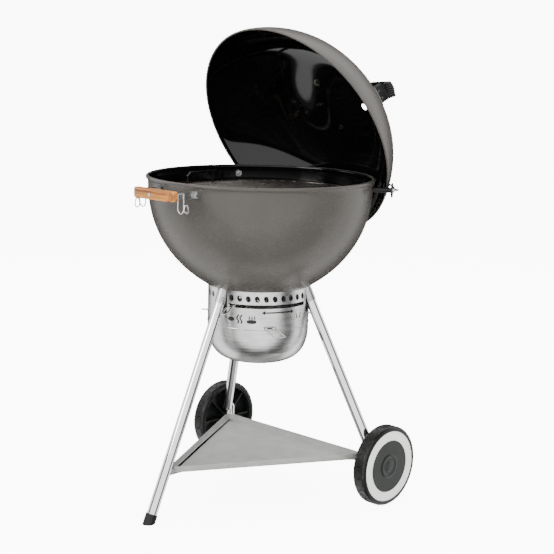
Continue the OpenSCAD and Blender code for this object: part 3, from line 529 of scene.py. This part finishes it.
def buildTray():
    bm = bmesh.new()
    points = []
    sides = trayShape["sides"]
    for i in range(len(sides)):  # a corner where each side meets the next
        (a, d), (b, e) = sides[i], sides[(i + 1) % len(sides)]
        a, b = math.radians(a), math.radians(b)
        k = math.sin(b - a)
        points.append(((d * math.sin(b) - e * math.sin(a)) / k, (e * math.cos(a) - d * math.cos(b)) / k))
    y0, z0 = plan["bowlY"] + trayShape["middleY"], trayShape["floor"]
    wall, foot, lip = trayShape["wall"], trayShape["foot"], trayShape["lip"]
    rounds, ring = [trayShape["corner"]] * len(sides), trayShape["ring"]
    levels = [(0, foot + ring), (0, foot), (foot * 0.3, foot * 0.3), (foot, 0), (lip, 0), (lip, wall),
              (foot, wall), (foot * 0.5, foot * 0.5 + wall), (wall, foot + wall), (wall, foot + wall + ring)]
    loops = []
    for up, inset in levels:  # up the outside, over the lip and down the inside
        loops.append([(p.x, p.y + y0, z0 + up) for p in roundedOutline(points, rounds, -inset)])
    loftRings(bm, loops)
    return finishPiece("trayPan", bm, [trayPaint], "stand", ["shelf"], 50)


trayPan = buildTray()
print("tray built")

# painted shade on the ash ring: flat dark marks where its icons and slot are cut through
# each mark's place on the ring: degrees round it, then its height
markShape = {"radius": 0.12815, "thick": 0.0003, "oval": (-76.5, 0.4775), "waves": (-66, 0.479),
             "embers": (-52.5, 0.4735), "flames": (-52.5, 0.479), "arrow": (-22, 0.4965), "pail": (5.5, 0.486),
             "slot": (-33.5, 0.458), "ovalHalf": 0.0092, "arrowHalf": 0.0349, "arrowHead": 0.009}


def wrapOnRing(bm, angle, height):  # flat shapes drawn in X and Y are wrapped on the ring
    for vert in bm.verts:
        a = math.radians(angle) + vert.co.x / markShape["radius"]
        r = markShape["radius"] + vert.co.z
        vert.co = Vector((r * math.cos(a), plan["bowlY"] + r * math.sin(a), height + vert.co.y))


def strokeFace(bm, line, width):  # a stroke along a line of points, of one width or a width at each point
    left, right = [], []
    widths = width if isinstance(width, list) else [width] * len(line)
    for i, p in enumerate(line):
        a, b = Vector(line[max(i - 1, 0)]), Vector(line[min(i + 1, len(line) - 1)])
        way = (b - a).normalized()
        side = Vector((-way.y, way.x)) * max(widths[i], 0.0002) / 2
        left.append(bm.verts.new((p[0] + side.x, p[1] + side.y, 0)))
        right.append(bm.verts.new((p[0] - side.x, p[1] - side.y, 0)))
    for i in range(len(line) - 1):
        bm.faces.new((left[i], left[i + 1], right[i + 1], right[i]))


def buildMarks():
    whole = bmesh.new()

    def keep(bm, angle, height):
        wrapOnRing(bm, angle, height)
        mesh = bpy.data.meshes.new("mark")
        bm.to_mesh(mesh)
        bm.free()
        whole.from_mesh(mesh)

    def rows(count, low, high):
        return [low + (high - low) * i / count for i in range(count + 1)]

    oval = bmesh.new()
    half = markShape["ovalHalf"]
    across = rows(16, -half, half)
    strokeFace(oval, [(x, 0) for x in across], [0.0112 * math.sqrt(1.02 - (x / half) ** 2) for x in across])
    keep(oval, *markShape["oval"])
    for shift in (-0.0052, 0.0032):  # two rising wavy lines
        wave = bmesh.new()
        line = [(shift + 0.0024 * math.sin(i * 0.55), -0.011 + 0.022 * i / 14) for i in range(15)]
        strokeFace(wave, line, 0.0036)
        keep(wave, *markShape["waves"])
    embers = bmesh.new()
    across = rows(10, -0.012, 0.012)
    strokeFace(embers, [(x, 0) for x in across], [0.010 - 300 * abs(x) ** 2.5 for x in across])
    keep(embers, *markShape["embers"])
    for shift in (-0.0065, 0, 0.0065):
        flame = bmesh.new()
        strokeFace(flame, [(shift, 0), (shift + 0.0014, 0.005), (shift, 0.010)], [0.0035, 0.003, 0.001])
        keep(flame, *markShape["flames"])
    arrow = bmesh.new()  # two heads and the shaft between them, as one stroke of changing width
    tips = rows(4, 0, markShape["arrowHead"])
    shaft = rows(14, -markShape["arrowHalf"], markShape["arrowHalf"])
    line = [(-0.044 + t, 0) for t in tips] + [(x, 0) for x in shaft] + [(0.035 + t, 0) for t in tips]
    widths = [1.2 * t for t in tips] + [0.0036] * len(shaft) + [0.0108 - 1.2 * t for t in tips]
    strokeFace(arrow, line, widths)
    keep(arrow, *markShape["arrow"])
    pail = bmesh.new()
    strokeFace(pail, [(0, y) for y in rows(3, -0.009, 0.0055)], [0.014, 0.016, 0.018, 0.020])
    strokeFace(pail, [(0, y) for y in rows(2, 0.0085, 0.0115)], [0.024, 0.020, 0.010])
    keep(pail, *markShape["pail"])
    # the latch slot: a dark stroke, painted shade for the opening
    slot = bmesh.new()
    strokeFace(slot, [(x, 0) for x in rows(6, -0.0105, 0.0105)], 0.0035)
    keep(slot, *markShape["slot"])
    for face in whole.faces:  # every mark faces away from the ring
        face.normal_update()
        middle = face.calc_center_median()
        if face.normal.dot(Vector((middle.x, middle.y - plan["bowlY"], 0))) < 0:
            face.normal_flip()
    whole.normal_update()
    bmesh.ops.solidify(whole, geom=whole.faces, thickness=markShape["thick"])
    return finishPiece("ringCutoutShade", whole, [cutoutShadePaint], "stand", [], 50)


ringCutoutShade = buildMarks()

# rolled hem round the foot of the ash ring
hemShape = {"turnSteps": 180, "profile": [(0.1278, 0.4521), (0.1287, 0.4521), (0.1291, 0.4527),
                                          (0.1291, 0.4537), (0.1287, 0.4544), (0.1278, 0.4544)]}
hem = spinProfile(hemShape["profile"], hemShape["turnSteps"])
moveAll(hem, Matrix.Translation((0, plan["bowlY"], 0)))
ringHem = finishPiece("ringHem", hem, [brushedSheet], "stand", [], 50)
print("ring marks built")

# finishes on the carried pieces
carried = {
    "chrome": (chromeTube, ["front_leg", "rear_leg_right", "rear_leg_left"]),
    "wire": (platedWire, ["lid_bail", "post_bolts", "button_front", "button_right", "button_left", "axle",
                          "axle_collars", "wheel_nuts", "pot_handle", "ring_pins", "sweeper_hub", "sweeper_lever",
                          "bracket_screws", "grip_screw", "tool_hooks", "shelf_rivets"]),
    # the grates and these nuts carry the nickel darkened as painted shade
    "grates": (shadeDimmedRod, ["charcoal_grate", "cooking_grate", "grate_flap_front", "grate_flap_back",
                          "plate_bolts", "damper_rivet", "handle_screws"]),
    "zinc": (zincPlate, ["leg_sockets", "shelf_tabs", "handle_bracket", "cooking_grate_tabs", "charcoal_grate_tabs"]),
    "sheet": (brushedSheet, ["ash_ring", "ash_pot", "sweeper", "damper", "lid_handle_plate"]),
    "nylon": (blackNylon, ["lid_posts", "post_caps", "foot_cap"]),
    "core": (corePlastic, ["wheel_core_right", "wheel_core_left", "wheel_cap_right", "wheel_cap_left"]),
    "trim": (whiteTrim, ["wheel_ring_right", "wheel_ring_left"]),
}
for material, names in carried.values():
    for name in names:
        mesh = nodes[name].data
        mesh.materials.clear()
        mesh.materials.append(material)
        mesh.polygons.foreach_set("use_smooth", [True] * len(mesh.polygons))
        mesh.set_sharp_from_angle(angle=math.radians(28))
# the damper's underside, seen through the lid's holes, is given the nearly black sheet
damperMesh = nodes["damper"].data
damperMesh.materials.append(nearBlackSheet)
lidAxis = (lidPlace.to_3x3() @ Vector((0, 0, 1))).normalized()
for polygon in damperMesh.polygons:
    if polygon.normal.dot(lidAxis) < -0.7:
        polygon.material_index = 1
print("carried pieces finished")

# studio
studio = {"floor": "f2f2f0", "floorSize": 14.0, "lens": 86.87, "sensor": 36.0, "turn": 43.68, "rise": 10.28,
          "roll": 1.26, "camera": (2.33175, -2.35502, 1.16757), "aim": (0, 0, 0.6), "sweep": 9.0, "dome": 2.4,
          "domeWay": (0.68, -0.71, 0.18),
          "bands": [(0.0, "181818"), (0.1, "404040"), (0.2, "f0f0f0"), (0.44, "f4f4f4"),
                    (0.52, "343434"), (0.74, "2c2c2c"), (0.82, "f8f8f8"), (1.0, "ffffff")],
          "lamps": {"keyBox": ((-0.9, -3.2, 2.4), 100, 1.8), "fillBox": ((3.2, -0.8, 1.9), 32, 1.6),
                    "topBox": ((0.3, 0.4, 3.4), 80, 2.2), "backBox": ((-1.6, 2.8, 2.2), 25, 1.4)}}


def buildStudio():
    bm = bmesh.new()
    bmesh.ops.create_grid(bm, x_segments=1, y_segments=1, size=studio["floorSize"])
    mesh = bpy.data.meshes.new("studioFloor")
    bm.to_mesh(mesh)
    bm.free()
    floor = bpy.data.objects.new("studioFloor", mesh)
    bpy.context.scene.collection.objects.link(floor)
    paint = {"Base Color": linearColor(studio["floor"]), "Roughness": 0.9}
    material, tree, shader = newMaterial("paintedStudioFloor", paint)
    # a lit cove, matt white paint: floor and sky read as one white sweep, and the contact shadow stays soft
    seen = addNode(tree, "ShaderNodeLightPath").outputs["Is Camera Ray"]
    glow = addNode(tree, "ShaderNodeMath", {1: studio["sweep"]}, {0: seen}, operation="MULTIPLY")
    shader.inputs["Emission Color"].default_value = linearColor("ffffff")
    tree.links.new(glow.outputs[0], shader.inputs["Emission Strength"])
    mesh.materials.append(material)
    floor.visible_glossy = False  # polished parts show the banded dome instead
    world = bpy.data.worlds.new("studioWorld")
    bpy.context.scene.world = world
    world.use_nodes = True
    tree = world.node_tree
    tree.nodes.clear()
    way = addNode(tree, "ShaderNodeTexCoord").outputs["Generated"]
    facing = addNode(tree, "ShaderNodeVectorMath", {1: studio["domeWay"]}, {0: way}, operation="DOT_PRODUCT")
    shade = addNode(tree, "ShaderNodeMapRange", {"From Min": -1.0}, {"Value": facing.outputs["Value"]})
    sky = colorSteps(tree, shade.outputs["Result"], studio["bands"])
    dim = addNode(tree, "ShaderNodeBackground", {"Strength": studio["dome"]}, {"Color": sky})
    plain = addNode(tree, "ShaderNodeBackground", {"Color": linearColor("ffffff"),
                                                   "Strength": studio["sweep"] + 1.0})
    seen = addNode(tree, "ShaderNodeLightPath").outputs["Is Camera Ray"]
    both = addNode(tree, "ShaderNodeMixShader", links={0: seen, 1: dim.outputs[0], 2: plain.outputs[0]})
    addNode(tree, "ShaderNodeOutputWorld", links={"Surface": both.outputs[0]})
    for name, (place, power, size) in studio["lamps"].items():
        light = bpy.data.lights.new(name, "AREA")
        light.energy, light.size = power, size
        lamp = bpy.data.objects.new(name, light)
        lamp.visible_glossy = name == "keyBox"  # the other boxes stay out of the polished parts
        lamp.location = place
        lamp.rotation_euler = (Vector(studio["aim"]) - Vector(place)).to_track_quat("-Z", "Y").to_euler()
        bpy.context.scene.collection.objects.link(lamp)


def buildCamera():
    a, e, r = (math.radians(studio[k]) for k in ("turn", "rise", "roll"))
    back = Vector((math.sin(a) * math.cos(e), -math.cos(a) * math.cos(e), math.sin(e)))
    right = Vector((math.cos(a), math.sin(a), 0))
    up = back.cross(right)
    tiltedRight = right * math.cos(r) + up * math.sin(r)
    tiltedUp = up * math.cos(r) - right * math.sin(r)
    data = bpy.data.cameras.new("productCamera")
    data.lens, data.sensor_width = studio["lens"], studio["sensor"]
    camera = bpy.data.objects.new("productCamera", data)
    turn = Matrix((tiltedRight, tiltedUp, back)).transposed().to_4x4()
    camera.matrix_world = Matrix.Translation(studio["camera"]) @ turn
    bpy.context.scene.collection.objects.link(camera)
    bpy.context.scene.camera = camera


buildStudio()
buildCamera()
print("studio and camera placed")
